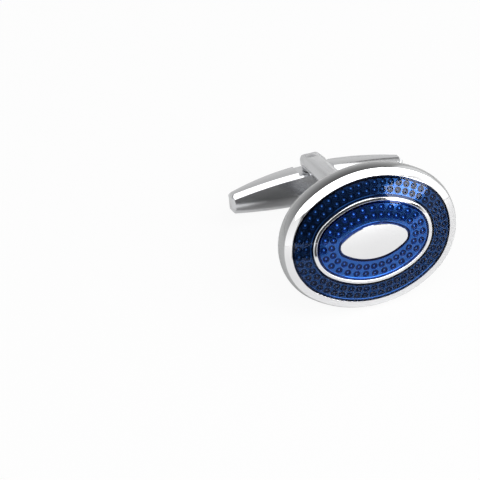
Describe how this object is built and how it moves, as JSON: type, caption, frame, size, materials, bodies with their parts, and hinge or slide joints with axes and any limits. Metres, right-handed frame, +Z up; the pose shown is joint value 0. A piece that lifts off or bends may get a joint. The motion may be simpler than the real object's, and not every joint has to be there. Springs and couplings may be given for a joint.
{
  "type": "cufflink",
  "caption": "Oval cufflink with a domed dotted enamel face in a polished rim, a forked post and a whale-back toggle that swivels on a snap pivot.",
  "frame": {"origin": "middle of the bounding box on the table plane, with the cufflink lying on the side of its rim and on the end of its fork", "axes": "+Z up from the table, +X along the long axis of the face and along the toggle, -Y the way the face looks, tipped back by about 15 degrees"},
  "size_m": [0.0216, 0.0228, 0.0166],
  "materials": {
    "polished_metal": "bright rhodium-look plating, mirror polished",
    "face_metal": "bright plated, die-struck with rows of dots under the enamel",
    "navy_enamel": "glossy translucent dark navy enamel",
    "blue_enamel": "glossy translucent royal blue enamel",
    "spring_steel": "bright rolled strip",
    "pin_metal": "polished flush rivet"
  },
  "bodies": {
    "head_and_post": {"bezel": "polished_metal", "face_plate": "face_metal", "outer_enamel": "navy_enamel", "inner_enamel": "blue_enamel", "post_fork": "polished_metal", "detent_spring": "spring_steel", "pivot_pin": "pin_metal"},
    "toggle_bar": {"toggle": "polished_metal"}
  },
  "joints": [
    {"name": "toggle_swivel", "type": "hinge", "parent": "head_and_post", "child": "toggle_bar", "pos_m": [0, 0.00932, 0.00353], "axis": [0, 0.2634, 0.9647], "range_deg": [-90, 90]}
  ]
}
